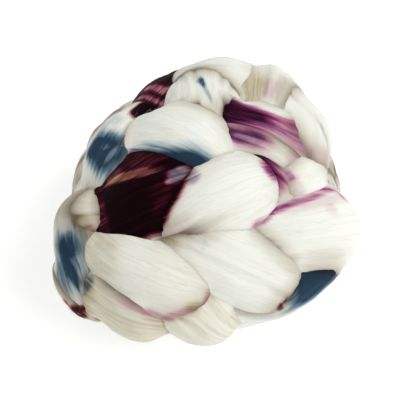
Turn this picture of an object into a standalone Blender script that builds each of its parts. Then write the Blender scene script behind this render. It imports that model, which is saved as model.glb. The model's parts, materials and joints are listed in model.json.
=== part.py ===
"""Wool roving: one length of dyed combed top, chain-stitched on itself and coiled into a round nest.

Metres, +Z up. The origin is the middle of the flat spot that the nest rests on, and -Y is its front.
Each chain stitch shows as two legs, soft puffs of fibre that part from one root like a V.
A place on the nest is given by two angles: turn goes round it from the front over the top, with the
front at 0 and the top at 90, and side goes from the middle towards +X. A heading of 0 points to +X.
"""

import math
from collections import namedtuple

import bmesh
import bpy
from mathutils import Matrix, Vector

MM = 0.001

# The nest is a ball, a little lower than it is wide, which its own weight presses flat underneath.
BALL_RADII = Vector((101, 102, 80)) * MM
FLAT_SPOT_DEPTH = 8 * MM
BALL_CENTRE = Vector((0, 0, BALL_RADII.z - FLAT_SPOT_DEPTH))

# The inner turns of the chain, which the outer legs cover, fill the ball this far.
INNER_RADII = Vector((72, 84, 62)) * MM

# A leg's form: the strand is gathered at its root, fullest towards its head, and bent over the nest.
AROUND, ALONG = 16, 12
END_FULLNESS = 2.6
ARCH_RADIUS = 62 * MM

# Undyed top, a white with a little yellow in it. The dyes are left to the finished surface.
UNDYED_COLOUR = (0.78, 0.76, 0.67, 1)
UNDYED_ROUGHNESS = 0.9

# Legs, in degrees and millimetres. length runs along the fibres, width lies across them, and depth
# goes into the nest. rise lifts the crest over the ball, lift tips the head up, and bow bends the leg
# sideways, to its left as one looks from root to head. head is the share by which the head is fuller
# than the middle, and the root thinner.
Leg = namedtuple("Leg", "name side turn heading length width depth rise lift bow head", defaults=(0.2,))
LEGS_IN_VIEW = (
    Leg("first_upper", -22, 59, 22, 84, 58, 44, -2, 2, 4),
    Leg("first_lower", -24, 29.5, -12, 76, 37, 44, 6, 6, 0),
    Leg("second_upper", 0.9, 57, 27, 71, 42, 42, 4, 6, 2, 0.3),
    Leg("second_lower", 7, 35.5, -25, 88, 45, 44, 2, 4, 2, 0.14),
    Leg("third_upper", 31, 66, 25, 58, 34, 36, -6, 2, 0),
    Leg("third_lower", 37, 41.5, -5, 86, 50, 44, 4, 4, 0, 0.30),
    Leg("crown_left", -9.9, 80.5, -28, 62, 48, 42, 4, 4, 8, 0.0),
    Leg("crown_right", 18.4, 87, -16, 93, 36, 38, 0, 0, 9),
    Leg("crown_right_low", 16, 79, -18, 78, 32, 36, -4, 0, 4),
    Leg("crown_tuck", 20.4, 69, -42, 50, 29, 32, -5.5, 0, 0),
    Leg("top_middle", -0.4, 100, 94, 60, 43, 42, 2, -4, 0),
    Leg("top_back", 3.2, 120, 14, 48, 46, 42, 5, 0, 0),
    Leg("top_right", 25, 116, 88, 66, 40, 40, 7, 0, 0),
    Leg("shoulder", 32.7, 100, -58, 70, 37, 42, 5, 0, 9.5),
    Leg("shoulder_edge", 40, 94, -70, 60, 30, 38, -11, 0, 4),
    Leg("top_left", -16.5, 121, 48, 68, 42, 38, -5, 0, 0),
    Leg("left_crown", -36.3, 91, -128, 62, 49, 38, -4, 0, 0, 0.06),
    Leg("left_column", -46, 60, -95, 58, 32, 38, -12, 0, 0),
    Leg("left_turn", -55, 44, 20, 46, 30, 36, -2, 0, 0),
    Leg("left_low", -49.5, 24, -54, 68, 42, 42, 6, 0, -7),
    Leg("left_tuck", -49, -4, -20, 40, 30, 30, 9, 0, 0),
    Leg("front_left", -31.5, 7, -8, 58, 50, 42, 7, 0, 0),
    Leg("front_middle", -8, 14, -48, 69, 40, 42, 2, 0, 0),
    Leg("front_right", 31, 16, 20, 72, 41, 42, 1, 0, -6),
    Leg("right_tuck", 44, 62, 30, 50, 32, 36, -12, 0, 0),
    Leg("left_end_middle", -82, 120, 70, 80, 50, 44, -18, 0, 0),
    Leg("right_end_middle", 82, 120, 70, 78, 50, 44, -19, 0, 0),
)

# The rest of the chain, which the front hides, goes on round the nest. Each stitch is the place of its
# root, the way that the chain runs there, and the rise of its two legs.
Stitch = namedtuple("Stitch", "name side turn heading rise")
STITCHES_BEHIND = (
    Stitch("back_top_left", -28, 150, 0, -13),
    Stitch("back_top", 0, 150, 0, -4),
    Stitch("back_top_right", 28, 148, 0, -6),
    Stitch("back_left", -39, 188, 180, -13),
    Stitch("back", -6, 185, 180, -5),
    Stitch("back_right", 28, 186, 180, -2),
    Stitch("back_low_left", -36, 225, 0, -4),
    Stitch("back_low", 2, 223, 0, 0),
    Stitch("back_low_right", 38, 225, 0, -4),
    Stitch("under_left", -37, 263, 180, 0),
    Stitch("under", 1, 262, 180, 1),
    Stitch("under_right", 38, 264, 180, 0),
    Stitch("front_low_left", -32, 304, 0, -10),
    Stitch("front_low", 4, 300, 0, -13),
    Stitch("front_low_right", 38, 306, 0, -8),
    Stitch("left_end_back", -60, 132, 90, -17),
    Stitch("left_end_rear", -55, 177, 90, -12),
    Stitch("left_end_low", -60, 227, 90, -12),
    Stitch("left_end_front", -64, 310, 90, -20),
    Stitch("right_end_back", 60, 134, 90, -19),
    Stitch("right_end_rear", 56, 178, 90, -13),
    Stitch("right_end_low", 62, 226, 90, -12),
    Stitch("right_end_front", 66, 312, 90, -20),
)
STITCH_SPREAD = 22
STITCH_GAUGE = 14
STITCH_LEG = Leg("stitch", 0, 0, 0, 80, 46, 42, 0, 4, 0)


def legs_of_stitch(stitch):
    """The two legs of a stitch, one each side of the line that the chain follows."""
    across = math.radians(stitch.heading + 90)
    for hand, sign in (("left", 1), ("right", -1)):
        yield STITCH_LEG._replace(
            name=f"{stitch.name}_{hand}",
            side=stitch.side + sign * STITCH_GAUGE * math.cos(across),
            turn=stitch.turn + sign * STITCH_GAUGE * math.sin(across),
            heading=stitch.heading + sign * STITCH_SPREAD,
            rise=stitch.rise,
        )


def place_on_ball(side, turn):
    """A point of the ball with its outward normal and its two tangents, towards +X and along the turn."""
    side, turn = math.radians(side), math.radians(turn)
    reach = Vector((math.sin(side), -math.cos(side) * math.cos(turn), math.cos(side) * math.sin(turn)))
    point = Vector(radius * share for radius, share in zip(BALL_RADII, reach))
    normal = Vector(share / radius for radius, share in zip(BALL_RADII, reach)).normalized()
    to_side = Vector((math.cos(side), math.sin(side) * math.cos(turn), -math.sin(side) * math.sin(turn)))
    to_side = Vector(radius * share for radius, share in zip(BALL_RADII, to_side))
    to_side = (to_side - to_side.dot(normal) * normal).normalized()
    return BALL_CENTRE + point, normal, to_side, normal.cross(to_side)


def leg_matrix(leg):
    """The leg's frame: X from root to head, Z out of the nest, and its origin in the leg's middle."""
    point, normal, to_side, to_turn = place_on_ball(leg.side, leg.turn)
    axes = Matrix((to_side, to_turn, normal)).transposed().to_4x4()
    middle = point + normal * (leg.rise - leg.depth / 2) * MM
    turned = Matrix.Rotation(math.radians(leg.heading), 4, "Z")
    tipped = Matrix.Rotation(math.radians(-leg.lift), 4, "Y")
    return Matrix.Translation(middle) @ axes @ turned @ tipped


def leg_point(leg, ball):
    """Where a point of the unit ball, its poles at X = -1 and 1, lies on the leg, in the leg's frame."""
    along = max(-1.0, min(1.0, ball.x))
    girth = math.sqrt(1 - abs(along) ** END_FULLNESS) * (1 + leg.head * along)
    round_the_leg = math.atan2(ball.z, ball.y)
    across = leg.width / 2 * MM * girth * math.cos(round_the_leg)
    out = leg.depth / 2 * MM * girth * math.sin(round_the_leg)
    arc = along * leg.length / 2 * MM / ARCH_RADIUS
    bow = leg.bow * MM * (0.5 - along**2)
    return Vector((
        (ARCH_RADIUS + out) * math.sin(arc),
        across + bow,
        (ARCH_RADIUS + out) * math.cos(arc) - ARCH_RADIUS,
    ))


def undyed_top():
    material = bpy.data.materials.new("undyed top")
    material.use_nodes = True
    shader = material.node_tree.nodes["Principled BSDF"]
    shader.inputs["Base Color"].default_value = UNDYED_COLOUR
    shader.inputs["Roughness"].default_value = UNDYED_ROUGHNESS
    shader.inputs["Metallic"].default_value = 0
    return material


def mesh_object(name, bm, collection):
    mesh = bpy.data.meshes.new(name)
    bm.to_mesh(mesh)
    bm.free()
    mesh.shade_smooth()
    made = bpy.data.objects.new(name, mesh)
    collection.objects.link(made)
    return made


def as_guide(guide):
    """A guide shapes the roving and isn't itself a part of it."""
    guide.hide_render = True
    guide.display_type = "WIRE"


def make_leg(leg, collection):
    bm = bmesh.new()
    poles_along_x = Matrix.Rotation(math.pi / 2, 4, "Y")
    bmesh.ops.create_uvsphere(bm, u_segments=AROUND, v_segments=ALONG, radius=1, matrix=poles_along_x)
    for vertex in bm.verts:
        vertex.co = leg_point(leg, vertex.co)
    made = mesh_object(leg.name, bm, collection)
    made.matrix_world = leg_matrix(leg)
    as_guide(made)


def make_below_the_base(collection):
    """A block whose top face is the level that the nest rests on."""
    bm = bmesh.new()
    bmesh.ops.create_cube(bm, size=1)
    width, height = 4 * BALL_RADII.x, BALL_RADII.z
    bmesh.ops.scale(bm, vec=Vector((width, width, height)), verts=bm.verts)
    bmesh.ops.translate(bm, vec=Vector((0, 0, -height / 2)), verts=bm.verts)
    block = mesh_object("below_the_base", bm, collection)
    as_guide(block)
    return block


def make_roving(collection, legs, below_the_base):
    """One closed body: the inner turns with every leg joined on, cut level where the nest rests."""
    bm = bmesh.new()
    bmesh.ops.create_uvsphere(bm, u_segments=24, v_segments=14, radius=1)
    bmesh.ops.scale(bm, vec=INNER_RADII, verts=bm.verts)
    bmesh.ops.translate(bm, vec=BALL_CENTRE, verts=bm.verts)
    roving = mesh_object("roving", bm, collection)
    roving.data.materials.append(undyed_top())

    join = roving.modifiers.new("legs", "BOOLEAN")
    join.operation = "UNION"
    join.operand_type = "COLLECTION"
    join.collection = legs

    cut = roving.modifiers.new("flat spot", "BOOLEAN")
    cut.operation = "DIFFERENCE"
    cut.object = below_the_base


def main():
    for thing in list(bpy.data.objects):
        bpy.data.objects.remove(thing)
    part = bpy.data.collections.new("wool roving")
    legs = bpy.data.collections.new("legs")
    cutters = bpy.data.collections.new("cutters")
    for collection in (part, legs, cutters):
        bpy.context.scene.collection.children.link(collection)

    for leg in LEGS_IN_VIEW:
        make_leg(leg, legs)
    for stitch in STITCHES_BEHIND:
        for leg in legs_of_stitch(stitch):
            make_leg(leg, legs)
    make_roving(part, legs, make_below_the_base(cutters))


main()
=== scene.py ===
"""The finished look of a wool roving: one length of dyed combed top, chain-stitched and coiled.

Metres, +Z up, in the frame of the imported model: the origin is the middle of the flat spot that the nest
rests on, and -Y is its front. A place on the nest is two angles: turn goes round it from the front over
the top, with the front at 0 and the top at 90, and side goes from the middle towards +X. A place on a leg
is how far along its fibres it lies, from -1 at the root to 1 at the head, and an angle round the leg, with
90 at the crest and 0 on the left as one looks from root to head.
"""

import json
import math
from collections import namedtuple

import bpy
import numpy as np
from mathutils import Matrix, Vector

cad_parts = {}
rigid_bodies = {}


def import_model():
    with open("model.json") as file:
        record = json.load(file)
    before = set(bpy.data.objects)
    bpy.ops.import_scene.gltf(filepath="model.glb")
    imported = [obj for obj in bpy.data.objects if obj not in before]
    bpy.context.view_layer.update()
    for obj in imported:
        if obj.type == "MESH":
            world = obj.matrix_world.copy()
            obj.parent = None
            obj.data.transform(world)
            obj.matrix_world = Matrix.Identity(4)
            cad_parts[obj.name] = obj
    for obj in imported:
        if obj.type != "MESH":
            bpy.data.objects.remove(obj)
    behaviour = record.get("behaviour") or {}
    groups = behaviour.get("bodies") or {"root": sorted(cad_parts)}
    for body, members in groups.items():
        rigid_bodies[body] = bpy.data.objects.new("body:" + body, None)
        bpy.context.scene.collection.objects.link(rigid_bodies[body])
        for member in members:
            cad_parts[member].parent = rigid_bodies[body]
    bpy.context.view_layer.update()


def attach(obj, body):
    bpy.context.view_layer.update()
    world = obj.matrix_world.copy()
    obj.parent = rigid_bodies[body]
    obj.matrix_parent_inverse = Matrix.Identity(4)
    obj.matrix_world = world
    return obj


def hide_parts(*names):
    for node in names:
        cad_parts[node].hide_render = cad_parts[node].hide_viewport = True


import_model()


# ---------------------------------------------------------------------------------------------------
# The inner turns. The coil starts as a tight ball of the same combed top, which later turns cover.
# The ball lies deep under the outer legs, and fills whatever gap they leave between them.
# ---------------------------------------------------------------------------------------------------
MM = 0.001
# The ball that the outer legs are laid on, how much of it the flat spot cuts off, and the inner turns.
BALL_RADII = Vector((101, 102, 80)) * MM
FLAT_SPOT_DEPTH = 8 * MM
BALL_CENTRE = Vector((0, 0, BALL_RADII.z - FLAT_SPOT_DEPTH))
INNER_RADII = Vector((72, 84, 62)) * MM
INNER_GRID = (90, 160)
INNER_ARCH_RADIUS = 1000.0


class Flow:
    """What leaves one socket of a node tree. A sum on it adds the Math nodes that work it out."""

    def __init__(self, socket):
        self.socket = socket

    @staticmethod
    def node(tree, kind, settings=(), sockets=(), out=None):
        """Adds a node: its settings first, then the values and links of its sockets, by name or number."""
        made = tree.nodes.new(kind)
        for name, value in dict(settings).items():
            if name != "stops":
                setattr(made, name, value)
                continue
            ramp = made.color_ramp
            while len(ramp.elements) < len(value):
                ramp.elements.new(1.0)
            for element, (place, colour) in zip(ramp.elements, value):
                element.position = place
                element.color = (*colour, 1.0)
        for key, value in dict(sockets).items():
            offered = [socket for socket in made.inputs if socket.enabled]
            place = offered[key] if isinstance(key, int) else next(s for s in offered if s.name == key)
            if isinstance(value, Flow):
                tree.links.new(value.socket, place)
            else:
                place.default_value = value
        leaving = [socket for socket in made.outputs if socket.enabled]
        if not leaving:
            return None
        return Flow(leaving[0] if out is None else next(s for s in leaving if s.name == out))

    def math(self, operation, *values):
        sockets = dict(enumerate(values))
        return Flow.node(self.socket.id_data, "ShaderNodeMath", {"operation": operation}, sockets)

    def __add__(self, other):
        return self.math("ADD", self, other)

    __radd__ = __add__

    def __sub__(self, other):
        return self.math("SUBTRACT", self, other)

    def __rsub__(self, other):
        return self.math("SUBTRACT", other, self)

    def __mul__(self, other):
        return self.math("MULTIPLY", self, other)

    __rmul__ = __mul__

    def __truediv__(self, other):
        return self.math("DIVIDE", self, other)

    def __pow__(self, other):
        return self.math("POWER", self, other)


# Where the ramps of the dyes and of the folds start: all the light is left.
ALL_LIGHT = (0.0, (1, 1, 1))

# A dye soaks in along the fibres. Each ramp gives the share of light that is left as its amount grows.
# The ochre ramp serves as a tan dye and also as painted shade on the sides and seams of legs.
DYE_AND_SHADE_RAMPS = {
    "navy": [
        ALL_LIGHT,
        (0.2, (0.66, 0.74, 0.80)),
        (0.5, (0.19, 0.29, 0.40)),
        (0.9, (0.024, 0.056, 0.11)),
    ],
    "plum": [
        ALL_LIGHT,
        (0.25, (0.74, 0.43, 0.60)),
        (0.55, (0.36, 0.075, 0.26)),
        (1.0, (0.03, 0.002, 0.018)),
    ],
    "wine": [
        ALL_LIGHT,
        (0.3, (0.55, 0.24, 0.30)),
        (0.58, (0.13, 0.020, 0.045)),
        (0.8, (0.024, 0.0016, 0.006)),
        (1.0, (0.006, 0.0003, 0.0012)),
    ],
    "blush": [ALL_LIGHT, (0.5, (0.80, 0.56, 0.66)), (1.0, (0.58, 0.28, 0.42))],
    "ochre": [ALL_LIGHT, (0.4, (0.78, 0.72, 0.60)), (1.0, (0.42, 0.27, 0.12))],
}

# Undyed combed wool is cream with a streaky tone, and painted shade makes it darker where the fibres lie
# low and paler where they lie high.
CREAM_AND_GROOVE_SHADE_RAMP = [(0.3, (0.775, 0.78, 0.705)), (0.5, (0.85, 0.863, 0.808)), (0.7, (0.89, 0.908, 0.872))]

# Painted shade: deep in a fold the colour turns warm and then dark, as light does that passes from fibre
# to fibre.
PAINTED_FOLD_SHADE_RAMP = [
    ALL_LIGHT,
    (0.35, (0.93, 0.915, 0.885)),
    (0.7, (0.68, 0.63, 0.57)),
    (1.0, (0.24, 0.18, 0.145)),
]
# A crease adds this much of the same painted shade for each millimetre of its depth.
PAINTED_CREASE_SHADE = 0.12

# How many waves of each pattern lie in a metre along the fibres and across them, and its detail.
Streak = namedtuple("Streak", "run side detail")
FIBRES = Streak(60, 2400, 3.0)
STRANDS = Streak(34, 1000, 3.0)
LOCKS = Streak(16, 300, 3.0)
DYE_LINES = Streak(30, 520, 4.0)
BLOTCHES = Streak(110, 170, 3.0)
# The slow wander of all of them: its waves in a metre, both ways, and how wide it swings.
WANDER_RUN, WANDER_SIDE = 22, 45
WANDER_REACH = 6 * MM

FIBRE_HEIGHT = 0.9 * MM
FIBRE_SHARPNESS = 0.6
ROUGHNESS, ROUGHNESS_SPREAD = 0.72, 0.3
WOOL_FINISH = {
    "Specular IOR Level": 0.03,
    "Subsurface Weight": 0.3,
    "Subsurface Radius": (1.0, 0.8, 0.62),
    "Subsurface Scale": 2.5 * MM,
    "Sheen Weight": 0.01,
    "Sheen Roughness": 0.5,
}


def combed_wool():
    """Soft parallel fibres, cream where they are undyed. The pattern follows the map called fibres."""
    material = bpy.data.materials.new("combed wool")
    material.use_nodes = True
    tree = material.node_tree
    shader = tree.nodes["Principled BSDF"]

    lie = Flow.node(tree, "ShaderNodeUVMap", {"uv_map": "fibres"})
    run = Flow.node(tree, "ShaderNodeSeparateXYZ", sockets={"Vector": lie}, out="X")
    side = Flow.node(tree, "ShaderNodeSeparateXYZ", sockets={"Vector": lie}, out="Y")

    def streaks(pattern):
        """Noise drawn out along the fibres, which wander a little as they run."""
        slow = {"X": run * WANDER_RUN, "Y": side * WANDER_SIDE}
        slow = Flow.node(tree, "ShaderNodeCombineXYZ", sockets=slow)
        wander = Flow.node(tree, "ShaderNodeTexNoise", sockets={"Vector": slow, "Scale": 1.0})
        drifted = side + (wander - 0.5) * WANDER_REACH
        along = {"X": run * pattern.run, "Y": drifted * pattern.side}
        along = Flow.node(tree, "ShaderNodeCombineXYZ", sockets=along)
        sockets = {"Vector": along, "Scale": 1.0, "Detail": pattern.detail}
        return Flow.node(tree, "ShaderNodeTexNoise", sockets=sockets)

    def painted(name):
        """How much of a dye or of a fold's painted shade each point of the piece has been given."""
        settings = {"attribute_name": name, "attribute_type": "GEOMETRY"}
        return Flow.node(tree, "ShaderNodeAttribute", settings, out="Fac")

    def ramp(stops, amount):
        return Flow.node(tree, "ShaderNodeValToRGB", {"stops": stops}, {"Fac": amount})

    def dim(colour, left):
        """The colour with only this share of its light left."""
        settings = {"data_type": "RGBA", "blend_type": "MULTIPLY"}
        return Flow.node(tree, "ShaderNodeMix", settings, {"Factor": 1.0, "A": colour, "B": left})

    fibres, strands, locks, dye_lines, blotches = (
        streaks(pattern) for pattern in (FIBRES, STRANDS, LOCKS, DYE_LINES, BLOTCHES)
    )
    # Streaky cream tone, with painted shade in the low grooves of the fibres.
    colour = ramp(CREAM_AND_GROOVE_SHADE_RAMP, locks * 0.35 + strands * 0.35 + fibres * 0.3)
    for tint, stops in DYE_AND_SHADE_RAMPS.items():
        # The dye, and the painted shade in ochre, creeps further along some fibres, most at its edge, and
        # takes unevenly within.
        soaked = painted(tint)
        edge = soaked * (1.0 - soaked)
        uneven = (dye_lines - 0.5) * 3.0 + (blotches - 0.5) * 1.8
        amount = soaked + uneven * edge + ((fibres - 0.5) * 0.35 + (dye_lines - 0.5) * 0.5) * soaked
        colour = dim(colour, ramp(stops, amount))
    # Painted shade darkens the colour in the folds between legs and in creases.
    colour = dim(colour, ramp(PAINTED_FOLD_SHADE_RAMP, painted("shelter") + painted("crease") * PAINTED_CREASE_SHADE))

    height = fibres * 0.35 + strands * 0.5 + locks
    bump = {"Strength": FIBRE_SHARPNESS, "Distance": FIBRE_HEIGHT, "Height": height}
    bump = Flow.node(tree, "ShaderNodeBump", sockets=bump)
    roughness = ROUGHNESS + (fibres - 0.5) * ROUGHNESS_SPREAD
    tree.links.new(colour.socket, shader.inputs["Base Color"])
    tree.links.new(roughness.socket, shader.inputs["Roughness"])
    tree.links.new(bump.socket, shader.inputs["Normal"])
    for name, value in WOOL_FINISH.items():
        shader.inputs[name].default_value = value
    return material


WOOL = combed_wool()


def new_tree(name, inputs):
    """A Geometry Nodes tree that takes and gives geometry, with these named inputs as well."""
    tree = bpy.data.node_groups.new(name, "GeometryNodeTree")
    tree.interface.new_socket("Geometry", in_out="INPUT", socket_type="NodeSocketGeometry")
    tree.interface.new_socket("Geometry", in_out="OUTPUT", socket_type="NodeSocketGeometry")
    for label, kind in inputs.items():
        tree.interface.new_socket(label, in_out="INPUT", socket_type=f"NodeSocket{kind}")
    entry = tree.nodes.new("NodeGroupInput")
    return tree, {socket.name: Flow(socket) for socket in entry.outputs if socket.name}


def end_tree(tree, geometry, material):
    """Closes a tree, with real geometry that wears its material."""
    real = Flow.node(tree, "GeometryNodeRealizeInstances", sockets={"Geometry": geometry})
    worn = Flow.node(
        tree, "GeometryNodeSetMaterial", sockets={"Geometry": real, "Material": material}
    )
    Flow.node(tree, "NodeGroupOutput", sockets={"Geometry": worn})


def give_tree(thing, tree, values):
    """Puts the tree on an object, with its inputs set by their identifiers."""
    modifier = thing.modifiers.new(tree.name, "NODES")
    modifier.node_group = tree
    for item in tree.interface.items_tree:
        if item.in_out == "INPUT" and item.name in values:
            modifier[item.identifier] = values[item.name]


def vector_of(tree, x, y, z):
    return Flow.node(tree, "ShaderNodeCombineXYZ", sockets={"X": x, "Y": y, "Z": z})


# How fine each kind of groove is round the leg and along it, and how far it stands out.
Groove = namedtuple("Groove", "round_leg along_leg height")
SWELLS = Groove(0.9, 0.8, 4.0)
LOCK_GROOVES = Groove(3.2, 0.7, 1.3)
STRAND_GROOVES = Groove(9.0, 0.9, 0.4)
# The ends and the lengthwise join of a sheet are closed within this distance once it is rolled.
JOIN_DISTANCE = 0.002 * MM
# How softly the wool turns up from where it is pressed level.
REST_SOFTNESS = 2 * MM


def rolled_wool():
    """Rolls a flat sheet, along by angle, into a puffed leg and lays it in the nest."""
    tree, given = new_tree(
        "rolled wool",
        {
            "Length": "Float",
            "Width": "Float",
            "Depth": "Float",
            "Bow": "Float",
            "Arch Radius": "Float",
            "End Fullness": "Float",
            "Head Gain": "Float",
            "Relief": "Float",
            "Seed": "Float",
            "Place": "Vector",
            "Turn": "Rotation",
        },
    )
    flat = Flow.node(tree, "GeometryNodeInputPosition")
    along = Flow.node(tree, "ShaderNodeSeparateXYZ", sockets={"Vector": flat}, out="X")
    angle = Flow.node(tree, "ShaderNodeSeparateXYZ", sockets={"Vector": flat}, out="Y")
    left, out = along.math("COSINE", angle), along.math("SINE", angle)
    blunt = along.math("MAXIMUM", 1.0 - along.math("ABSOLUTE", along) ** given["End Fullness"], 0.0)
    blunt = along.math("SQRT", blunt)
    girth = blunt * (1.0 + given["Head Gain"] * along)

    def grooves(kind):
        """Noise that runs on round the leg without a seam, drawn out along its fibres."""
        seed = given["Seed"]
        spot = vector_of(
            tree, along * kind.along_leg + seed, left * kind.round_leg, out * kind.round_leg + seed
        )
        noise = {"Vector": spot, "Scale": 1.0, "Detail": 1.0}
        return (Flow.node(tree, "ShaderNodeTexNoise", sockets=noise) - 0.5) * kind.height

    # Locks and strands stand out twice as far at the gathered ends as in the middle.
    gathered = 0.6 + 0.6 * along * along
    relief = grooves(SWELLS) + (grooves(LOCK_GROOVES) + grooves(STRAND_GROOVES)) * gathered
    crease = Flow.node(
        tree, "GeometryNodeInputNamedAttribute", {"data_type": "FLOAT"}, {"Name": "crease"}
    )
    proud = (relief * given["Relief"] - crease) * blunt * MM
    across = left * (given["Width"] * girth * 0.5 + proud) + given["Bow"] * (0.5 - along * along)
    lifted = out * (given["Depth"] * girth * 0.5 + proud) + given["Arch Radius"]
    arc = along * given["Length"] * 0.5 / given["Arch Radius"]
    rolled = vector_of(
        tree,
        lifted * arc.math("SINE", arc),
        across,
        lifted * arc.math("COSINE", arc) - given["Arch Radius"],
    )
    shaped = Flow.node(
        tree, "GeometryNodeSetPosition", sockets={"Geometry": given["Geometry"], "Position": rolled}
    )
    grain = Flow.node(
        tree,
        "FunctionNodeRotateVector",
        sockets={
            "Vector": vector_of(tree, arc.math("COSINE", arc), 0.0, arc.math("SINE", arc) * -1.0),
            "Rotation": given["Turn"],
        },
    )
    shaped = Flow.node(
        tree,
        "GeometryNodeStoreNamedAttribute",
        {"data_type": "FLOAT_VECTOR"},
        {"Geometry": shaped, "Name": "grain", "Value": grain},
    )
    closed = Flow.node(
        tree, "GeometryNodeMergeByDistance", sockets={"Geometry": shaped, "Distance": JOIN_DISTANCE}
    )
    laid = Flow.node(
        tree,
        "GeometryNodeTransform",
        sockets={"Geometry": closed, "Translation": given["Place"], "Rotation": given["Turn"]},
    )
    # What rests is pressed level, with a soft turn up from it.
    place = Flow.node(tree, "GeometryNodeInputPosition")
    x, y, z = (
        Flow.node(tree, "ShaderNodeSeparateXYZ", sockets={"Vector": place}, out=axis) for axis in "XYZ"
    )
    pressed = vector_of(tree, x, y, (z + z.math("SQRT", z * z + REST_SOFTNESS**2)) * 0.5)
    rested = {"Geometry": laid, "Position": pressed}
    rested = Flow.node(tree, "GeometryNodeSetPosition", sockets=rested)
    end_tree(tree, rested, WOOL)
    return tree


ROLLED_WOOL = rolled_wool()


def smooth_step(value):
    value = np.clip(value, 0.0, 1.0)
    return value * value * (3.0 - 2.0 * value)


# How much closer than evenly the columns of a sheet lie at the crest.
CREST_CROWDING = 0.4
# A mark is gone at this many times its size, and half gone at its size.
MARK_END = 1.5


def sheet_of_wool(name, grid, length, girth, marks):
    """A flat sheet, x along the fibres and y the angle round the leg, with more columns near the crest."""
    rows, columns = grid
    crest = math.pi / 2
    steps = np.linspace(-math.pi, math.pi, columns + 1)
    rounds = crest + steps - CREST_CROWDING * np.sin(steps)
    alongs = -np.cos(np.linspace(0.0, math.pi, rows + 1))
    along, angle = (value.ravel() for value in np.meshgrid(alongs, rounds, indexing="ij"))

    corner = (np.arange(rows)[:, None] * (columns + 1) + np.arange(columns)[None, :]).ravel()
    faces = np.stack([corner, corner + columns + 1, corner + columns + 2, corner + 1], axis=1)
    mesh = bpy.data.meshes.new(name)
    mesh.from_pydata(np.stack([along, angle, 0 * along], axis=1), [], faces)
    mesh.shade_smooth()

    lie = np.stack([along * length / 2, (angle - crest) / (2 * math.pi) * girth], axis=1)
    fibres = mesh.uv_layers.new(name="fibres")
    fibres.data.foreach_set("uv", lie[faces.ravel()].astype(np.float32).ravel())
    for attribute in (*DYE_AND_SHADE_RAMPS, "crease"):
        amount = np.zeros(len(along))
        for mark in marks:
            if mark.kind != attribute:
                continue
            middle = mark.round + mark.slant * (along - mark.along)
            off_round = (np.degrees(angle) - middle + 180) % 360 - 180
            off = np.hypot((along - mark.along) / mark.run, off_round / mark.spread)
            amount += mark.amount * smooth_step(MARK_END - off)
        if attribute != "crease":
            amount = np.clip(amount, 0.0, 1.0)
        layer = mesh.attributes.new(attribute, "FLOAT", "POINT")
        layer.data.foreach_set("value", amount.astype(np.float32))
    return mesh


def roll_up(sheets):
    """Makes each flat sheet a finished piece of the nest."""
    made = []
    for mesh, values in sheets:
        piece = bpy.data.objects.new(mesh.name, mesh)
        bpy.context.scene.collection.objects.link(piece)
        give_tree(piece, ROLLED_WOOL, values)
        made.append(piece)
    graph = bpy.context.evaluated_depsgraph_get()
    for piece in made:
        flat = piece.data
        piece.data = bpy.data.meshes.new_from_object(piece.evaluated_get(graph))
        piece.modifiers.clear()
        bpy.data.meshes.remove(flat)
        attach(piece, "root")
        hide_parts("roving")


roll_up([(
    sheet_of_wool("inner_turns", INNER_GRID, 2 * INNER_RADII.x, 4 * INNER_RADII.y, ()),
    {
        "Length": 2 * INNER_RADII.x,
        "Width": 2 * INNER_RADII.y,
        "Depth": 2 * INNER_RADII.z,
        "Bow": 0.0,
        "Arch Radius": INNER_ARCH_RADIUS,
        "End Fullness": 2.0,
        "Head Gain": 0.0,
        "Relief": 1.6,
        "Seed": 3.7,
        "Place": BALL_CENTRE,
        "Turn": (0.0, 0.0, 0.0),
    },
)])


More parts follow.
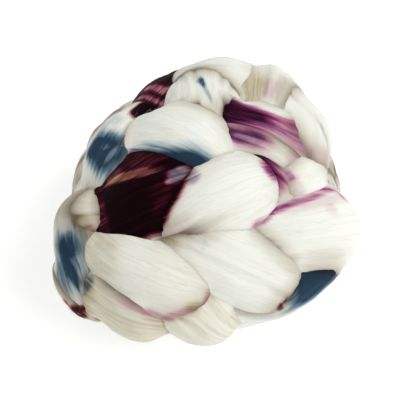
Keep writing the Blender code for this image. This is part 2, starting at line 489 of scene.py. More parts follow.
# ---------------------------------------------------------------------------------------------------
# The legs in view. Each chain stitch shows as two legs, soft puffs of fibre that part from one root
# like a V. The pull of the chain gathers a leg at its ends, and the dye that the top was painted with
# before it was stitched comes up wherever the chain happens to bring it. Five legs that hardly show are
# here too, since they close the gaps beside the others.
# ---------------------------------------------------------------------------------------------------
# Each leg's row gives its place on the ball, the way that it runs there, its length, width and depth, how
# far it rises out of the ball, how far its head is lifted, how far it bows to its left, and how much
# fuller its head is than its middle. Angles are in degrees and sizes in millimetres.
Leg = namedtuple("Leg", "name side turn heading length width depth rise lift bow head", defaults=(0.2,))
LEGS_IN_VIEW = (
    Leg("first_upper", -22, 59, 22, 84, 58, 44, -2, 2, 4),
    Leg("first_lower", -24, 29.5, -12, 76, 37, 44, 6, 6, 0),
    Leg("second_upper", 0.9, 57, 27, 71, 42, 42, 4, 6, 2, 0.3),
    Leg("second_lower", 7, 35.5, -25, 88, 45, 44, 2, 4, 2, 0.14),
    Leg("third_upper", 31, 66, 25, 58, 34, 36, -6, 2, 0),
    Leg("third_lower", 37, 41.5, -5, 86, 50, 44, 4, 4, 0, 0.30),
    Leg("crown_left", -9.9, 80.5, -28, 62, 48, 42, 4, 4, 8, 0.0),
    Leg("crown_right", 18.4, 87, -16, 93, 36, 38, 0, 0, 9),
    Leg("crown_right_low", 16, 79, -18, 78, 32, 36, -4, 0, 4),
    Leg("crown_tuck", 20.4, 69, -42, 50, 29, 32, -5.5, 0, 0),
    Leg("top_middle", -0.4, 100, 94, 60, 43, 42, 2, -4, 0),
    Leg("top_back", 3.2, 120, 14, 48, 46, 42, 5, 0, 0),
    Leg("top_right", 25, 116, 88, 66, 40, 40, 7, 0, 0),
    Leg("shoulder", 32.7, 100, -58, 70, 37, 42, 5, 0, 9.5),
    Leg("shoulder_edge", 40, 94, -70, 60, 30, 38, -11, 0, 4),
    Leg("top_left", -16.5, 121, 48, 68, 42, 38, -5, 0, 0),
    Leg("left_crown", -36.3, 91, -128, 62, 49, 38, -4, 0, 0, 0.06),
    Leg("left_column", -46, 60, -95, 58, 32, 38, -12, 0, 0),
    Leg("left_turn", -55, 44, 20, 46, 30, 36, -2, 0, 0),
    Leg("left_low", -49.5, 24, -54, 68, 42, 42, 6, 0, -7),
    Leg("left_tuck", -49, -4, -20, 40, 30, 30, 9, 0, 0),
    Leg("front_left", -31.5, 7, -8, 58, 50, 42, 7, 0, 0),
    Leg("front_middle", -8, 14, -48, 69, 40, 42, 2, 0, 0),
    Leg("front_right", 31, 16, 20, 72, 41, 42, 1, 0, -6),
    Leg("right_tuck", 44, 62, 30, 50, 32, 36, -12, 0, 0),
    Leg("left_end_middle", -82, 120, 70, 80, 50, 44, -18, 0, 0),
    Leg("right_end_middle", 82, 120, 70, 78, 50, 44, -19, 0, 0),
)
END_FULLNESS = 2.6
ARCH_RADIUS = 62 * MM
GRID_IN_VIEW = (84, 84)
FIRST_SEED, SEED_STEP = 11.3, 2.7

# How far a leg's locks stand apart, in millimetres. The tight legs are smooth, and the slack ones are
# more uneven.
PLAIN_RELIEF = 1.2
RELIEF = {
    "first_lower": 0.9,
    "front_left": 1.4,
    "front_middle": 1.5,
    "left_crown": 1.8,
    "left_low": 1.5,
    "left_tuck": 1.6,
    "left_turn": 0.5,
    "first_upper": 0.9,
    "second_upper": 0.8,
    "shoulder": 1.4,
    "top_back": 1.4,
    "top_middle": 1.5,
    "top_right": 1.4,
}

# A mark lies on a leg round its middle, run long and spread degrees wide to where it is half gone. Its
# slant is how many degrees it turns as it runs. A dye's amount is from 0 to 1. More than 1 gives it a
# sharper edge, and less than 0 washes some of it out. A crease's amount is its depth in millimetres, and
# one of less than 0 is a swell. A crease also darkens the wool with painted shade, and a swell lightens
# it.
# Many ochre marks, and a few blush and navy ones, are painted shade on the sides and in the seams of legs.
Mark = namedtuple("Mark", "leg kind along round run spread amount slant", defaults=(0,))
MARKS_IN_VIEW = (
    Mark("first_upper", "wine", 0.00, 90, 1.60, 360, 1.0),
    Mark("first_upper", "wine", -0.03, 66, 0.34, 6, -0.66, 30),
    Mark("first_upper", "wine", -0.22, 54, 0.12, 9, -0.40),
    Mark("first_upper", "wine", 0.08, 50, 0.34, 11, -0.24, 46),
    Mark("first_upper", "wine", -0.46, 92, 0.07, 40, -0.40),
    Mark("first_upper", "wine", 0.26, 112, 0.14, 24, -0.26),
    Mark("first_upper", "wine", 0.10, 151, 0.24, 10, -1.00, 12),
    Mark("first_upper", "wine", 0.46, 89, 0.12, 9, -0.95),
    Mark("first_upper", "wine", 0.37, 92, 0.06, 4, -0.55, -30),
    Mark("first_upper", "plum", -0.46, 92, 0.07, 40, 0.50),
    Mark("first_upper", "plum", 0.26, 112, 0.14, 24, 0.45),
    Mark("first_upper", "plum", 0.46, 89, 0.12, 13, 0.22, 20),
    Mark("first_upper", "navy", 0.47, 89, 0.13, 13, 0.40, 20),
    Mark("first_upper", "navy", 0.41, 80, 0.04, 4, 0.20, 60),
    Mark("first_upper", "ochre", -0.03, 66, 0.32, 5, 0.95, 30),
    Mark("first_upper", "ochre", -0.22, 54, 0.12, 8, 0.45),
    Mark("first_upper", "crease", -0.05, 110, 0.35, 7, 0.6),
    Mark("crown_left", "navy", 0.46, 150, 0.44, 38, 1.0, -28),
    Mark("crown_left", "navy", -0.18, 158, 0.52, 28, 0.85, -16),
    Mark("crown_left", "navy", 0.46, 122, 0.16, 8, 0.24, -20),
    Mark("crown_left", "plum", -0.50, 150, 0.14, 14, 0.35),
    Mark("crown_left", "crease", -0.35, 100, 0.30, 7, 0.7, 20),
    Mark("crown_left", "crease", 0.10, 112, 0.30, 7, 0.4, 10),
    Mark("left_crown", "wine", -0.68, 74, 0.23, 15, 2.0),
    Mark("left_crown", "navy", 0.27, 73, 0.28, 40, 0.95),
    Mark("left_crown", "navy", 0.17, 92, 0.07, 18, 0.25),
    Mark("left_crown", "navy", 0.36, 104, 0.10, 14, 0.30),
    Mark("left_crown", "navy", 0.28, 58, 0.15, 5, -0.30, 20),
    Mark("left_crown", "navy", 0.22, 76, 0.05, 9, -0.22, 40),
    Mark("left_crown", "navy", -0.24, 96, 0.10, 14, 0.14),
    Mark("left_crown", "navy", 0.58, 62, 0.12, 20, 0.30),
    Mark("left_crown", "navy", -0.04, 108, 0.12, 12, 0.22),
    Mark("left_crown", "crease", 0.05, 90, 0.50, 9, 0.8, 10),
    Mark("left_crown", "crease", -0.20, 62, 0.40, 8, 0.7, -10),
    Mark("left_low", "navy", 0.04, 56, 0.42, 48, 0.34),
    Mark("left_low", "navy", -0.16, 67, 0.15, 24, 0.55),
    Mark("left_low", "navy", 0.14, 76, 0.22, 12, 0.58, -40),
    Mark("left_low", "navy", 0.30, 66, 0.10, 8, 0.20),
    Mark("left_low", "navy", -0.26, 86, 0.16, 14, 0.34),
    Mark("left_low", "navy", 0.20, 100, 0.26, 14, 0.30),
    Mark("left_low", "wine", 0.64, 82, 0.06, 12, 0.85),
    Mark("left_low", "navy", 0.02, 60, 0.18, 14, 0.24),
    Mark("left_low", "ochre", 0.00, 60, 1.60, 360, 0.08),
    Mark("left_low", "ochre", -0.62, 62, 0.10, 20, 0.14),
    Mark("left_low", "ochre", -0.28, 26, 0.12, 12, 0.45),
    Mark("left_low", "crease", 0.00, 66, 0.45, 9, 1.1, -40),
    Mark("left_low", "crease", -0.10, 92, 0.40, 8, 0.8),
    Mark("left_low", "crease", -0.20, 44, 0.40, 8, 0.7, -20),
    # Painted shade in ochre darkens left_turn to a tan.
    Mark("left_turn", "ochre", 0.56, 102, 0.20, 20, 0.28),
    Mark("left_turn", "ochre", 0.00, 90, 1.60, 360, 0.10),
    Mark("left_turn", "wine", 0.66, 122, 0.10, 16, 0.24),
    Mark("left_turn", "crease", 0.40, 88, 0.45, 9, 0.9),
    Mark("left_tuck", "wine", 0.46, 66, 0.19, 26, 0.85),
    Mark("left_tuck", "wine", 0.50, 62, 0.07, 9, -0.36),
    Mark("left_tuck", "wine", 0.12, 66, 0.10, 8, 0.34),
    Mark("left_tuck", "ochre", 0.00, 90, 1.60, 360, 0.24),
    Mark("front_left", "navy", -0.40, 58, 0.07, 16, 0.40),
    Mark("front_left", "blush", 0.40, 47, 0.34, 7, 0.42),
    # Painted shade in ochre darkens front_left, and is washed out again under its pink band.
    Mark("front_left", "ochre", 0.34, 46, 0.34, 11, -0.36),
    Mark("front_left", "blush", 0.66, 52, 0.14, 8, 0.30),
    Mark("front_left", "ochre", 0.00, 80, 1.60, 360, 0.36),
    Mark("front_left", "ochre", -0.36, 84, 0.12, 30, 0.14),
    Mark("front_left", "crease", 0.10, 74, 0.50, 7, 0.7, 10),
    Mark("front_left", "crease", -0.10, 98, 0.40, 7, 0.4, -10),
    Mark("front_middle", "blush", -0.12, 92, 0.08, 26, 0.55),
    # Painted shade in ochre on front_middle's lower left, away from the light.
    Mark("front_middle", "ochre", -0.34, 100, 0.24, 60, 0.24),
    Mark("front_middle", "ochre", 0.00, 90, 1.60, 360, 0.20),
    Mark("front_middle", "crease", 0.00, 85, 0.60, 8, 1.1, 12),
    Mark("front_middle", "crease", 0.10, 112, 0.50, 7, 0.8, -10),
    Mark("front_middle", "crease", 0.00, 62, 0.50, 7, 0.7, 10),
    Mark("first_lower", "blush", 0.46, 135, 0.18, 9, 0.55),
    Mark("first_lower", "blush", 0.68, 120, 0.14, 9, 0.55, -110),
    # Painted shade in blush: a thin dark line in the crevice at first_lower's head.
    Mark("first_lower", "blush", 0.92, 92, 0.03, 30, 0.40),
    Mark("first_lower", "ochre", 0.82, 106, 0.09, 12, 0.50),
    # Painted shade in ochre on first_lower's left side, away from the light.
    Mark("first_lower", "ochre", -0.42, 84, 0.34, 56, 0.24),
    Mark("first_lower", "ochre", 0.00, 90, 1.60, 360, 0.06),
    Mark("first_lower", "crease", -0.20, 106, 0.40, 8, 0.3, 10),
    Mark("front_right", "navy", 0.26, 74, 0.36, 38, 1.0),
    Mark("front_right", "navy", -0.10, 96, 0.18, 16, 0.28),
    Mark("front_right", "navy", -0.30, 84, 0.30, 30, 0.08),
    Mark("front_right", "wine", -0.28, 73, 0.035, 8, 0.60),
    Mark("front_right", "crease", -0.20, 96, 0.40, 7, 0.7, -10),
    Mark("second_lower", "wine", 0.68, 115, 0.025, 8, 0.55),
    Mark("second_lower", "wine", 0.65, 122, 0.02, 5, 0.40),
    # Painted shade in ochre along second_lower's root, beside the seam with first_lower.
    Mark("second_lower", "ochre", -0.80, 96, 0.26, 50, 0.24),
    Mark("second_lower", "ochre", -0.54, 108, 0.10, 26, 0.30, 90),
    Mark("second_lower", "crease", 0.20, 100, 0.50, 8, 1.0, 8),
    Mark("second_lower", "crease", -0.30, 74, 0.30, 8, 0.5, -10),
    Mark("second_lower", "navy", -0.26, 80, 0.04, 7, 0.16),
    Mark("second_upper", "wine", -0.36, 49, 0.41, 24, 2.2, -73),
    Mark("second_upper", "plum", 0.95, 82, 0.13, 26, 0.72),
    Mark("second_upper", "navy", -0.02, 50, 0.10, 12, 0.30),
    Mark("second_upper", "plum", -0.02, 50, 0.10, 12, 0.16),
    Mark("second_upper", "plum", 0.52, 156, 0.16, 5, 0.26),
    Mark("second_upper", "blush", -0.40, 112, 0.18, 18, 0.14),
    Mark("second_upper", "crease", 0.00, 120, 0.60, 8, 0.9, 8),
    Mark("second_upper", "crease", -0.40, 96, 0.30, 8, 0.6, 16),
    Mark("third_lower", "plum", -0.03, 36, 0.56, 5, 0.36, -21),
    Mark("third_lower", "plum", 0.36, 29, 0.14, 5, 0.16, 10),
    Mark("third_lower", "plum", 0.51, 39, 0.05, 9, 0.30),
    Mark("third_lower", "plum", -0.42, 45, 0.16, 6, 0.22, -20),
    Mark("third_lower", "plum", -0.51, 54, 0.11, 7, 0.36, -85),
    Mark("third_lower", "blush", 0.12, 44, 0.40, 9, 0.24, -10),
    Mark("third_lower", "blush", 0.20, 58, 0.07, 8, 0.24),
    Mark("third_lower", "plum", 0.10, 150, 0.35, 8, 0.22),
    Mark("third_lower", "crease", 0.10, 112, 0.45, 8, 0.6),
    Mark("top_left", "wine", 0.00, 105, 1.60, 360, 0.84),
    Mark("top_left", "wine", -0.45, 110, 0.05, 60, -0.36),
    Mark("top_left", "wine", -0.24, 112, 0.08, 60, -0.40),
    Mark("top_left", "plum", 0.10, 105, 0.30, 60, 0.20),
    Mark("top_middle", "navy", 0.17, 87, 0.13, 5, 0.50, -23),
    Mark("top_middle", "navy", 0.22, 83, 0.06, 6, 0.20),
    Mark("top_middle", "navy", -0.08, 93, 0.24, 3.5, 0.36, -23),
    Mark("top_middle", "plum", -0.48, 130, 0.10, 14, 1.0),
    Mark("top_middle", "crease", 0.00, 78, 0.60, 7, 1.0),
    Mark("top_middle", "crease", 0.00, 118, 0.60, 7, 1.0),
    Mark("top_middle", "crease", 0.00, 58, 0.60, 7, 0.9),
    Mark("top_middle", "crease", 0.00, 136, 0.60, 7, 0.8),
    Mark("top_back", "crease", 0.00, 110, 0.50, 8, 0.7),
    # Painted shade in blush and ochre on top_right's left side.
    Mark("top_right", "blush", -0.46, 77, 0.20, 15, 0.40),
    Mark("top_right", "ochre", -0.44, 42, 0.36, 24, 0.40),
    Mark("top_right", "ochre", -0.34, 58, 0.50, 32, 0.14),
    Mark("top_right", "crease", -0.20, 66, 0.50, 8, 0.8),
    Mark("top_right", "crease", -0.20, 96, 0.50, 8, 0.6),
    Mark("shoulder", "crease", 0.34, 90, 0.34, 8, 1.1, -46),
    # A swell that also lightens the painted shade beside crown_right.
    Mark("shoulder", "crease", 0.22, 126, 0.36, 16, -1.2),
    # Painted shadow in navy: the grey line beside the shoulder's crease.
    Mark("shoulder", "navy", 0.46, 84, 0.20, 5, 0.14, -46),
    Mark("shoulder", "crease", 0.00, 108, 0.40, 8, 0.5, -10),
    Mark("shoulder", "blush", 0.78, 104, 0.14, 40, 0.26),
    Mark("crown_right", "plum", -0.44, 96, 0.44, 29, 1.3),
    Mark("crown_right", "plum", 0.24, 98, 0.34, 22, 0.40, 6),
    Mark("crown_right", "plum", -0.02, 128, 0.26, 9, 0.40),
    Mark("crown_right", "blush", 0.34, 92, 0.20, 16, 0.30),
    Mark("crown_right", "plum", 0.30, 92, 0.26, 6, -0.16, 14),
    Mark("crown_right", "blush", 0.10, 84, 0.44, 9, 0.40, 10),
    Mark("crown_right", "crease", 0.10, 100, 0.60, 8, 0.9),
    Mark("crown_right_low", "plum", -0.16, 92, 0.30, 19, 0.55),
    Mark("crown_right_low", "plum", -0.42, 104, 0.14, 30, 0.50),
    Mark("crown_right_low", "plum", -0.06, 96, 0.20, 4, -0.24, 10),
    Mark("crown_right_low", "plum", -0.05, 134, 0.30, 8, 0.30),
    Mark("crown_right_low", "navy", -0.18, 92, 0.26, 15, 0.24),
    Mark("crown_right_low", "blush", 0.56, 90, 0.16, 60, 0.42),
    Mark("crown_tuck", "plum", -0.12, 96, 0.44, 44, 0.95),
    Mark("crown_tuck", "plum", 0.18, 70, 0.30, 14, -0.42),
    Mark("crown_tuck", "blush", 0.30, 100, 0.14, 50, 0.20),
    Mark("third_upper", "plum", -0.08, 80, 0.06, 12, 0.28),
    Mark("third_upper", "blush", -0.06, 98, 0.12, 34, 0.24),
    Mark("third_upper", "crease", 0.10, 92, 0.50, 8, 0.6),
    # A broad swell that also lightens third_upper's painted shade.
    Mark("third_upper", "crease", 0.20, 92, 0.50, 40, -2.0),
    Mark("right_end_middle", "navy", -0.55, 90, 0.24, 40, 0.80),
)


def place_on_ball(side, turn):
    """A point of the ball with its outward normal and its two tangents, towards +X and along the turn."""
    side, turn = math.radians(side), math.radians(turn)
    reach = Vector((math.sin(side), -math.cos(side) * math.cos(turn), math.cos(side) * math.sin(turn)))
    point = Vector(radius * share for radius, share in zip(BALL_RADII, reach))
    normal = Vector(share / radius for radius, share in zip(BALL_RADII, reach)).normalized()
    to_side = Vector((math.cos(side), math.sin(side) * math.cos(turn), -math.sin(side) * math.sin(turn)))
    to_side = Vector(radius * share for radius, share in zip(BALL_RADII, to_side))
    to_side = (to_side - to_side.dot(normal) * normal).normalized()
    return BALL_CENTRE + point, normal, to_side, normal.cross(to_side)


def leg_matrix(leg):
    """The leg's frame: X from root to head, Z out of the nest, and its origin in the leg's middle."""
    point, normal, to_side, to_turn = place_on_ball(leg.side, leg.turn)
    axes = Matrix((to_side, to_turn, normal)).transposed().to_4x4()
    middle = point + normal * (leg.rise - leg.depth / 2) * MM
    turned = Matrix.Rotation(math.radians(leg.heading), 4, "Z")
    tipped = Matrix.Rotation(math.radians(-leg.lift), 4, "Y")
    return Matrix.Translation(middle) @ axes @ turned @ tipped


def make_legs(legs, marks, grid):
    """Lays each leg in the nest with the marks that belong to it."""
    sheets = []
    for number, leg in enumerate(legs):
        frame_of_leg = leg_matrix(leg)
        girth = math.pi / 2 * (leg.width + leg.depth) * MM
        on_leg = [mark for mark in marks if mark.leg == leg.name]
        sheets.append((
            sheet_of_wool(leg.name, grid, leg.length * MM, girth, on_leg),
            {
                "Length": leg.length * MM,
                "Width": leg.width * MM,
                "Depth": leg.depth * MM,
                "Bow": leg.bow * MM,
                "Arch Radius": ARCH_RADIUS,
                "End Fullness": END_FULLNESS,
                "Head Gain": leg.head,
                "Relief": RELIEF.get(leg.name, PLAIN_RELIEF),
                "Seed": FIRST_SEED + SEED_STEP * number,
                "Place": frame_of_leg.translation,
                "Turn": frame_of_leg.to_euler(),
            },
        ))
    roll_up(sheets)


make_legs(LEGS_IN_VIEW, MARKS_IN_VIEW, GRID_IN_VIEW)


# ---------------------------------------------------------------------------------------------------
# The rest of the chain, which goes on round the back, the ends and underneath. Each stitch is the place
# between its two legs, the way that the chain runs there, and how far the legs rise.
# ---------------------------------------------------------------------------------------------------
Stitch = namedtuple("Stitch", "name side turn heading rise")
STITCHES_BEHIND = (
    Stitch("back_top_left", -28, 150, 0, -13),
    Stitch("back_top", 0, 150, 0, -4),
    Stitch("back_top_right", 28, 148, 0, -6),
    Stitch("back_left", -39, 188, 180, -13),
    Stitch("back", -6, 185, 180, -5),
    Stitch("back_right", 28, 186, 180, -2),
    Stitch("back_low_left", -36, 225, 0, -4),
    Stitch("back_low", 2, 223, 0, 0),
    Stitch("back_low_right", 38, 225, 0, -4),
    Stitch("under_left", -37, 263, 180, 0),
    Stitch("under", 1, 262, 180, 1),
    Stitch("under_right", 38, 264, 180, 0),
    Stitch("front_low_left", -32, 304, 0, -10),
    Stitch("front_low", 4, 300, 0, -13),
    Stitch("front_low_right", 38, 306, 0, -8),
    Stitch("left_end_back", -60, 132, 90, -17),
    Stitch("left_end_rear", -55, 177, 90, -12),
    Stitch("left_end_low", -60, 227, 90, -12),
    Stitch("left_end_front", -64, 310, 90, -20),
    Stitch("right_end_back", 60, 134, 90, -19),
    Stitch("right_end_rear", 56, 178, 90, -13),
    Stitch("right_end_low", 62, 226, 90, -12),
    Stitch("right_end_front", 66, 312, 90, -20),
)
# Degrees between the chain and each leg, and from the chain's line to the middle of each leg.
STITCH_SPREAD = 22
STITCH_GAUGE = 14
STITCH_LEG = Leg("stitch", 0, 0, 0, 80, 46, 42, 0, 4, 0)
GRID_BEHIND = (60, 64)
MARKS_BEHIND = (
    Mark("back_top_left_right", "wine", 0.60, 90, 0.50, 90, 0.75),
    Mark("left_end_back_right", "navy", 0.50, 90, 0.30, 60, 0.30),
    Mark("back_right_left", "plum", 0.10, 96, 0.50, 40, 0.80),
    Mark("back_right_right", "plum", -0.20, 80, 0.30, 20, 0.35),
    Mark("back_top_right_left", "blush", 0.10, 100, 0.40, 16, 0.45),
    Mark("back_left_right", "navy", 0.20, 92, 0.34, 40, 0.85),
    Mark("back_left", "navy", 0.20, 92, 0.34, 40, 0.85),
    Mark("back_low_left_left", "wine", 0.00, 90, 0.60, 60, 0.95),
    Mark("back_low_left_left", "ochre", -0.10, 66, 0.40, 6, 0.50, 30),
    Mark("back_low_right", "blush", 0.20, 76, 0.50, 9, 0.60),
    Mark("back_low_right_left", "navy", -0.30, 90, 0.20, 30, 0.40),
    Mark("left_end_rear_left", "blush", 0.10, 90, 0.50, 14, 0.40),
    Mark("left_end_rear_right", "plum", 0.20, 100, 0.34, 34, 0.70),
    Mark("left_end_low_left", "navy", 0.20, 92, 0.30, 34, 0.80),
    Mark("right_end_rear_left", "plum", 0.00, 96, 0.50, 8, 0.55, 10),
    Mark("right_end_rear_right", "navy", 0.30, 90, 0.20, 30, 0.50),
    Mark("right_end_front_right", "wine", -0.10, 90, 0.40, 50, 0.85),
    Mark("right_end_low_left", "blush", 0.00, 100, 0.50, 12, 0.50),
    Mark("under_left_right", "navy", 0.00, 90, 0.40, 40, 0.70),
    Mark("under_right_left", "wine", 0.00, 90, 0.40, 50, 0.80),
)


def legs_of_stitch(stitch):
    """The two legs of a stitch, one each side of the line that the chain follows."""
    across = math.radians(stitch.heading + 90)
    for hand, sign in (("left", 1), ("right", -1)):
        yield STITCH_LEG._replace(
            name=f"{stitch.name}_{hand}",
            side=stitch.side + sign * STITCH_GAUGE * math.cos(across),
            turn=stitch.turn + sign * STITCH_GAUGE * math.sin(across),
            heading=stitch.heading + sign * STITCH_SPREAD,
            rise=stitch.rise,
        )


legs_behind = [leg for stitch in STITCHES_BEHIND for leg in legs_of_stitch(stitch)]
make_legs(legs_behind, MARKS_BEHIND, GRID_BEHIND)


# ---------------------------------------------------------------------------------------------------
# Where the legs press together. The wool gives way beside a neighbour, so that a deep soft fold runs
# between two legs, and down in the fold the wool's colour is darkened with painted shade.
# ---------------------------------------------------------------------------------------------------
FOLD_REACH = 4.5 * MM
FOLD_DEPTH = 3.2 * MM
# The painted shade is wide where the wool faces a neighbour, and narrow and dark along the seam itself.
SHADE_REACH = 6.8 * MM
FACING_START = 0.35
SEAM_REACH = 2.4 * MM
SEAM_SHADE = 0.95
# The side that the folds lie most open to, and the share of the painted shade that its light clears.
OPEN_SIDE = (0.45, 0.25, 0.86)
OPEN_LIGHT = 0.58
# Wool that rests isn't folded, no loose fibre starts near the floor, and legs further apart don't touch.
RESTING_HEIGHT = 3 * MM
BARE_HEIGHT = 9 * MM
FURTHEST = 24 * MM
# Near its tip a leg's form is taken from this share of its length.
HELD = 0.97


def vectors_of(items, name):
    found = np.empty(len(items) * 3, np.float32)
    items.foreach_get(name, found)
    return found.reshape(-1, 3).astype(float)


def clearance(leg, points):
    """How far each point lies outside the leg's plain form, and which way the leg's middle line is."""
    placed = np.array(leg_matrix(leg))
    local = (points - placed[:3, 3]) @ placed[:3, :3]
    arc = np.arctan2(local[:, 0], local[:, 2] + ARCH_RADIUS)
    out = np.hypot(local[:, 0], local[:, 2] + ARCH_RADIUS) - ARCH_RADIUS
    half_length = leg.length / 2 * MM
    along = arc * ARCH_RADIUS / half_length
    held = np.clip(along, -HELD, HELD)
    bow = leg.bow * MM * (0.5 - held**2)
    girth = np.sqrt(1 - np.abs(held) ** END_FULLNESS) * (1 + leg.head * held)
    half_width, half_depth = leg.width / 2 * MM * girth, leg.depth / 2 * MM * girth
    share = np.hypot((local[:, 1] - bow) / half_width, out / half_depth)
    beside = (share - 1) * (half_width + half_depth) / 2
    beyond = np.maximum(np.abs(along) - HELD, 0) * half_length
    held_arc = held * half_length / ARCH_RADIUS
    forward, down = ARCH_RADIUS * np.sin(held_arc), ARCH_RADIUS * (np.cos(held_arc) - 1)
    towards = (np.stack([forward, bow, down], axis=1) - local) @ placed[:3, :3].T
    towards /= np.linalg.norm(towards, axis=1, keepdims=True) + 1e-9
    return np.where(beyond > 0, np.hypot(np.maximum(beside, 0), beyond), beside), towards


def press_together(legs):
    """Folds each leg in along its neighbours, paints shade in the folds and notes how free its wool is."""
    for leg in legs:
        mesh = bpy.data.objects[leg.name].data
        points, normals = vectors_of(mesh.vertices, "co"), vectors_of(mesh.vertex_normals, "vector")
        folded, painted_shade = np.zeros(len(points)), np.zeros(len(points))
        for other in legs:
            apart = (leg_matrix(leg).translation - leg_matrix(other).translation).length
            if other is leg or apart > (leg.length + other.length) / 2 * MM + FURTHEST:
                continue
            clear, towards = clearance(other, points)
            clear = np.maximum(clear, 0)
            facing = np.clip(FACING_START + (normals * towards).sum(axis=1), 0, 1)
            folded = np.maximum(folded, np.exp(-((clear / FOLD_REACH) ** 2)))
            painted_shade = np.maximum(painted_shade, facing * np.exp(-clear / SHADE_REACH))
            painted_shade = np.maximum(painted_shade, SEAM_SHADE * np.exp(-clear / SEAM_REACH))
        # Painted shade is lighter where a fold faces the side that the light comes from.
        painted_shade *= 1 - OPEN_LIGHT * np.clip(normals @ OPEN_SIDE, 0, 1)
        rests = points[:, 2] < RESTING_HEIGHT
        points -= normals * (folded * FOLD_DEPTH * ~rests)[:, None]
        mesh.vertices.foreach_set("co", points.astype(np.float32).ravel())
        bared = (1 - folded) * (points[:, 2] > BARE_HEIGHT)
        for attribute, amount in (("shelter", painted_shade), ("bared", bared)):
            layer = mesh.attributes.new(attribute, "FLOAT", "POINT")
            layer.data.foreach_set("value", amount.astype(np.float32))
        mesh.update()


all_legs = [*LEGS_IN_VIEW, *legs_behind]
press_together(all_legs)


# ---------------------------------------------------------------------------------------------------
# Loose fibres. Combed top isn't spun, so single fibres lie free on every leg. They follow the rest
# roughly and stray a little from them, and each is dyed as the wool that it lies on.
# ---------------------------------------------------------------------------------------------------
FIBRES_PER_SQUARE_METRE = 48000
FIBRE_LENGTH = 11 * MM
FIBRE_RADIUS = 0.035 * MM
FIBRE_SEED = 5
FIBRE_STEPS, FIBRE_SIDES = 5, 3
# How far a fibre's ends dip, and how far its middle sways and lifts, as shares of half its length.
DIP, SWAY, LIFT = -0.07, 0.14, 0.09
# The least and the most that a fibre rolls, tips and turns, in radians, and that it is scaled by.
ROLL, TIP, YAW = (-0.5, 0.5), (-0.04, 0.03), (-0.3, 0.3)
LONGER, WIDER = (0.5, 1.3), (0.6, 1.3)


def loose_fibres():
    """Sows curved fibres over the legs, each along the wool's own grain."""
    tree, given = new_tree(
        "loose fibres",
        {"Legs": "Collection", "Density": "Float", "Length": "Float", "Radius": "Float", "Seed": "Int"},
    )

    def named(name, data_type="FLOAT"):
        return Flow.node(
            tree, "GeometryNodeInputNamedAttribute", {"data_type": data_type}, {"Name": name}
        )

    def random(limits, seed):
        sockets = {"Min": limits[0], "Max": limits[1], "Seed": seed}
        return Flow.node(tree, "FunctionNodeRandomValue", {"data_type": "FLOAT"}, sockets)

    half = given["Length"] * 0.5
    fibre = Flow.node(
        tree,
        "GeometryNodeCurveQuadraticBezier",
        sockets={
            "Resolution": FIBRE_STEPS,
            "Start": vector_of(tree, half * -1.0, 0.0, half * DIP),
            "Middle": vector_of(tree, 0.0, half * SWAY, half * LIFT),
            "End": vector_of(tree, half, 0.0, half * DIP),
        },
    )
    around = {"Resolution": FIBRE_SIDES, "Radius": given["Radius"]}
    around = Flow.node(tree, "GeometryNodeCurvePrimitiveCircle", sockets=around)
    tube = {"Curve": fibre, "Profile Curve": around, "Fill Caps": True}
    fibre = Flow.node(tree, "GeometryNodeCurveToMesh", sockets=tube)

    legs = Flow.node(tree, "GeometryNodeCollectionInfo", sockets={"Collection": given["Legs"]})
    legs = Flow.node(tree, "GeometryNodeRealizeInstances", sockets={"Geometry": legs})
    sown = {"Mesh": legs, "Density": named("bared") * given["Density"], "Seed": given["Seed"]}
    sown = Flow.node(tree, "GeometryNodeDistributePointsOnFaces", sockets=sown)
    outward = Flow(sown.socket.node.outputs["Normal"])
    lie = Flow.node(
        tree,
        "FunctionNodeAxesToRotation",
        {"primary_axis": "Z", "secondary_axis": "X"},
        {"Primary Axis": outward, "Secondary Axis": named("grain", "FLOAT_VECTOR")},
    )
    stray = vector_of(tree, random(ROLL, 1), random(TIP, 2), random(YAW, 3))
    stray = Flow.node(tree, "FunctionNodeEulerToRotation", sockets={"Euler": stray})
    lie = Flow.node(
        tree,
        "FunctionNodeRotateRotation",
        {"rotation_space": "LOCAL"},
        {"Rotation": lie, "Rotate By": stray},
    )
    laid = Flow.node(
        tree,
        "GeometryNodeInstanceOnPoints",
        sockets={
            "Points": sown,
            "Instance": fibre,
            "Rotation": lie,
            "Scale": vector_of(tree, random(LONGER, 4), random(WIDER, 5), 1.0),
        },
    )
    laid = Flow.node(tree, "GeometryNodeRealizeInstances", sockets={"Geometry": laid})
    laid = Flow.node(
        tree,
        "GeometryNodeStoreNamedAttribute",
        {"data_type": "FLOAT2", "domain": "CORNER"},
        {"Geometry": laid, "Name": "fibres", "Value": named("fibres", "FLOAT_VECTOR")},
    )
    laid = Flow.node(tree, "GeometryNodeSetShadeSmooth", sockets={"Geometry": laid})
    end_tree(tree, laid, WOOL)
    return tree


def lay_loose_fibres():
    """The fibres as one plain mesh of their own."""
    legs = bpy.data.collections.new("legs")
    for leg in all_legs:
        legs.objects.link(bpy.data.objects[leg.name])
    piece = bpy.data.objects.new("loose_fibres", bpy.data.meshes.new("loose_fibres"))
    bpy.context.scene.collection.objects.link(piece)
    give_tree(
        piece,
        loose_fibres(),
        {
            "Legs": legs,
            "Density": float(FIBRES_PER_SQUARE_METRE),
            "Length": FIBRE_LENGTH,
            "Radius": FIBRE_RADIUS,
            "Seed": FIBRE_SEED,
        },
    )
    graph = bpy.context.evaluated_depsgraph_get()
    piece.data = bpy.data.meshes.new_from_object(piece.evaluated_get(graph))
    piece.modifiers.clear()
    bpy.data.collections.remove(legs)
    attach(piece, "root")
    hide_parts("roving")


lay_loose_fibres()


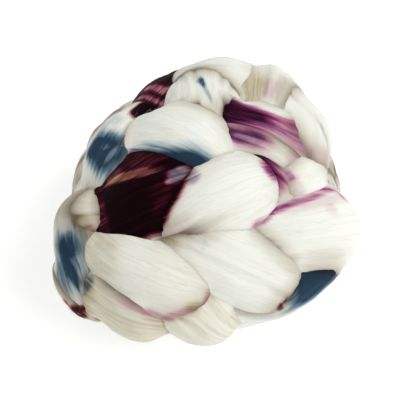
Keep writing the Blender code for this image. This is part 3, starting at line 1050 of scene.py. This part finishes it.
# ---------------------------------------------------------------------------------------------------
# The studio: a plain pale floor, soft light from a wide panel above and to the right, a weaker one on the
# left behind the nest and a white room, and the camera that looks down on the nest from the front.
# ---------------------------------------------------------------------------------------------------
WHITE = (1, 1, 1, 1)
FLOOR_SIZE = 6.0
FLOOR_FINISH = {
    "Base Color": (0.94, 0.94, 0.94, 1),
    "Emission Color": WHITE,
    "Emission Strength": 0.26,
    "Roughness": 0.9,
    "Specular IOR Level": 0.1,
}
CAMERA_ELEVATION = 50
CAMERA_DISTANCE = 450 * MM
FRAME_PIXELS = 400
MM_PER_PIXEL = 0.65
BALL_CENTRE_PIXEL = (206, 201)
NEAREST_SEEN = 10 * MM


def make_floor():
    mesh = bpy.data.meshes.new("floor")
    half = FLOOR_SIZE / 2
    corners = [(-half, -half, 0), (half, -half, 0), (half, half, 0), (-half, half, 0)]
    mesh.from_pydata(corners, [], [(0, 1, 2, 3)])
    floor = bpy.data.objects.new("floor", mesh)
    bpy.context.scene.collection.objects.link(floor)
    material = bpy.data.materials.new("pale floor")
    material.use_nodes = True
    shader = material.node_tree.nodes["Principled BSDF"]
    for name, value in FLOOR_FINISH.items():
        shader.inputs[name].default_value = value
    mesh.materials.append(material)


def make_panel(name, place, size, watts):
    """A soft square light that faces the middle of the nest."""
    light = bpy.data.lights.new(name, "AREA")
    light.size = size
    light.energy = watts
    panel = bpy.data.objects.new(name, light)
    bpy.context.scene.collection.objects.link(panel)
    panel.location = place
    panel.rotation_euler = (BALL_CENTRE - Vector(place)).to_track_quat("-Z", "Y").to_euler()


def make_room(strength):
    world = bpy.data.worlds.new("soft room")
    world.use_nodes = True
    background = world.node_tree.nodes["Background"]
    background.inputs["Color"].default_value = WHITE
    background.inputs["Strength"].default_value = strength
    bpy.context.scene.world = world


def make_camera():
    """Looks at the middle of the nest, which is shifted to its own pixel of the frame."""
    lens = bpy.data.cameras.new("camera")
    camera = bpy.data.objects.new("camera", lens)
    bpy.context.scene.collection.objects.link(camera)
    elevation = math.radians(CAMERA_ELEVATION)
    back = Vector((0, -math.cos(elevation), math.sin(elevation)))
    camera.location = BALL_CENTRE + back * CAMERA_DISTANCE
    camera.rotation_euler = (-back).to_track_quat("-Z", "Y").to_euler()
    pixels_away = CAMERA_DISTANCE / (MM_PER_PIXEL * MM)
    lens.lens = lens.sensor_width * pixels_away / FRAME_PIXELS
    lens.shift_x = (FRAME_PIXELS / 2 - BALL_CENTRE_PIXEL[0]) / FRAME_PIXELS
    lens.shift_y = (BALL_CENTRE_PIXEL[1] - FRAME_PIXELS / 2) / FRAME_PIXELS
    lens.clip_start = NEAREST_SEEN
    bpy.context.scene.camera = camera


make_floor()
make_panel("key", place=(1.3, -0.8, 1.8), size=1.2, watts=25)
make_panel("fill", place=(-0.5, 0.7, 2.1), size=1.6, watts=8)
make_room(strength=0.58)
make_camera()
bpy.context.scene.view_settings.view_transform = "Standard"
